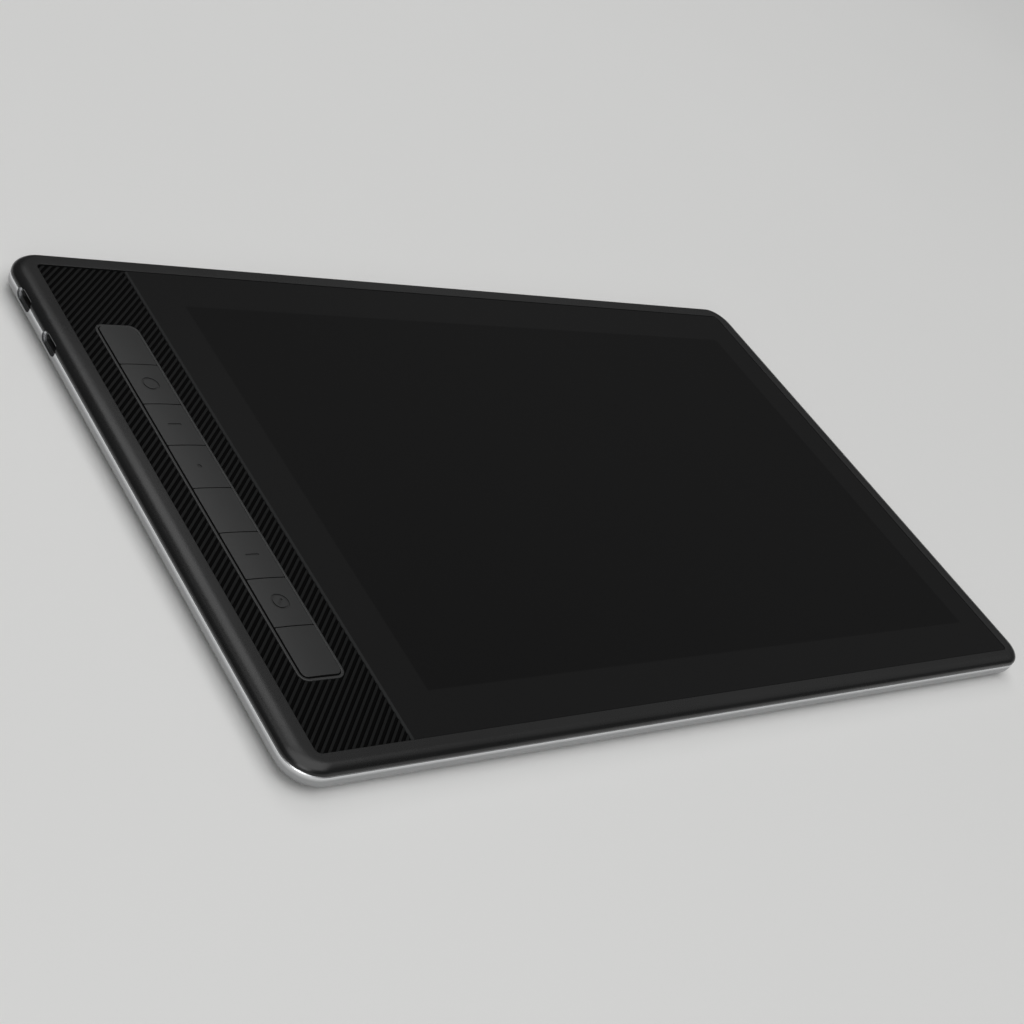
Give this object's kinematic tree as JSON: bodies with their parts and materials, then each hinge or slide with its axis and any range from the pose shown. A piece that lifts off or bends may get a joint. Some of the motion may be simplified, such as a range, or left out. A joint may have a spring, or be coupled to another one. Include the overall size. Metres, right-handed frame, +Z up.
{
  "type": "pen display tablet",
  "caption": "Flat drawing tablet with a built-in screen, a ribbed strip of press keys along one short side, side sockets and rubber foot strips.",
  "frame": {"origin": "under the middle of the body, on the plane that the foot strips stand on", "axes": "+X along the long sides with the keys at -X, +Y towards the far long side, +Z up out of the screen"},
  "size_m": [0.37, 0.2266, 0.0108],
  "materials": {
    "frame_black": "satin moulded black with a fine grain",
    "shell_silver": "satin anodised silver",
    "screen_glass": "etched anti-glare glass over a dark screen",
    "seal_tape": "black foam tape",
    "clear_bond": "clear bond",
    "panel_glass": "dark display panel",
    "white_film": "white film",
    "guide_acrylic": "clear acrylic",
    "led_yellow": "lamp strip",
    "tray_white": "coated sheet",
    "board_green": "solder mask",
    "plate_aluminium": "plain sheet",
    "chip_black": "moulded package",
    "connector_ivory": "moulded connector",
    "port_steel": "drawn steel",
    "strip_black": "ribbed satin black",
    "trim_grey": "satin grey",
    "key_grey": "soft-touch grey",
    "silicone": "translucent silicone",
    "ribbon_amber": "polyimide",
    "foot_rubber": "matt rubber",
    "screw_steel": "zinc-plated"
  },
  "bodies": {
    "chassis": {"front_frame": "frame_black", "back_cover": "shell_silver", "cover_glass": "screen_glass", "glass_tape": "seal_tape", "optical_bond": "clear_bond", "lcd_panel": "panel_glass", "diffuser_films": "white_film", "light_guide": "guide_acrylic", "led_bar": "led_yellow", "backlight_tray": "tray_white", "sensor_board": "board_green", "mid_plate": "plate_aluminium", "main_board": "board_green", "board_chips": "chip_black", "key_connector": "connector_ivory", "usb_port_far": "port_steel", "usb_port_near": "port_steel", "key_panel": "strip_black", "key_surround": "trim_grey", "dome_strip": "silicone", "key_board": "board_green", "power_switch": "chip_black", "lcd_flex": "ribbon_amber", "sensor_flex": "ribbon_amber", "foot_near": "foot_rubber", "foot_far": "foot_rubber", "cover_screws": "screw_steel", "plate_screws": "screw_steel", "board_screws": "screw_steel", "key_board_screws": "screw_steel"},
    "key_1": {"key_1": "key_grey"},
    "key_2": {"key_2": "key_grey"},
    "key_3": {"key_3": "key_grey"},
    "key_4": {"key_4": "key_grey"},
    "key_5": {"key_5": "key_grey"},
    "key_6": {"key_6": "key_grey"},
    "key_7": {"key_7": "key_grey"},
    "key_8": {"key_8": "key_grey"},
    "power_button": {"power_button": "frame_black"}
  },
  "joints": [
    {"name": "key_1_press", "type": "slide", "parent": "chassis", "child": "key_1", "axis": [0, 0, -1], "range_m": [0, 0.0006], "stiffness_N_per_m": 600, "springref_m": -0.0015, "deforming": ["dome_strip"]},
    {"name": "key_2_press", "type": "slide", "parent": "chassis", "child": "key_2", "axis": [0, 0, -1], "range_m": [0, 0.0006], "stiffness_N_per_m": 600, "springref_m": -0.0015, "deforming": ["dome_strip"]},
    {"name": "key_3_press", "type": "slide", "parent": "chassis", "child": "key_3", "axis": [0, 0, -1], "range_m": [0, 0.0006], "stiffness_N_per_m": 600, "springref_m": -0.0015, "deforming": ["dome_strip"]},
    {"name": "key_4_press", "type": "slide", "parent": "chassis", "child": "key_4", "axis": [0, 0, -1], "range_m": [0, 0.0006], "stiffness_N_per_m": 600, "springref_m": -0.0015, "deforming": ["dome_strip"]},
    {"name": "key_5_press", "type": "slide", "parent": "chassis", "child": "key_5", "axis": [0, 0, -1], "range_m": [0, 0.0006], "stiffness_N_per_m": 600, "springref_m": -0.0015, "deforming": ["dome_strip"]},
    {"name": "key_6_press", "type": "slide", "parent": "chassis", "child": "key_6", "axis": [0, 0, -1], "range_m": [0, 0.0006], "stiffness_N_per_m": 600, "springref_m": -0.0015, "deforming": ["dome_strip"]},
    {"name": "key_7_press", "type": "slide", "parent": "chassis", "child": "key_7", "axis": [0, 0, -1], "range_m": [0, 0.0006], "stiffness_N_per_m": 600, "springref_m": -0.0015, "deforming": ["dome_strip"]},
    {"name": "key_8_press", "type": "slide", "parent": "chassis", "child": "key_8", "axis": [0, 0, -1], "range_m": [0, 0.0006], "stiffness_N_per_m": 600, "springref_m": -0.0015, "deforming": ["dome_strip"]},
    {"name": "power_button_press", "type": "slide", "parent": "chassis", "child": "power_button", "axis": [0, -1, 0], "range_m": [0, 0.0004], "stiffness_N_per_m": 900, "springref_m": -0.001}
  ]
}
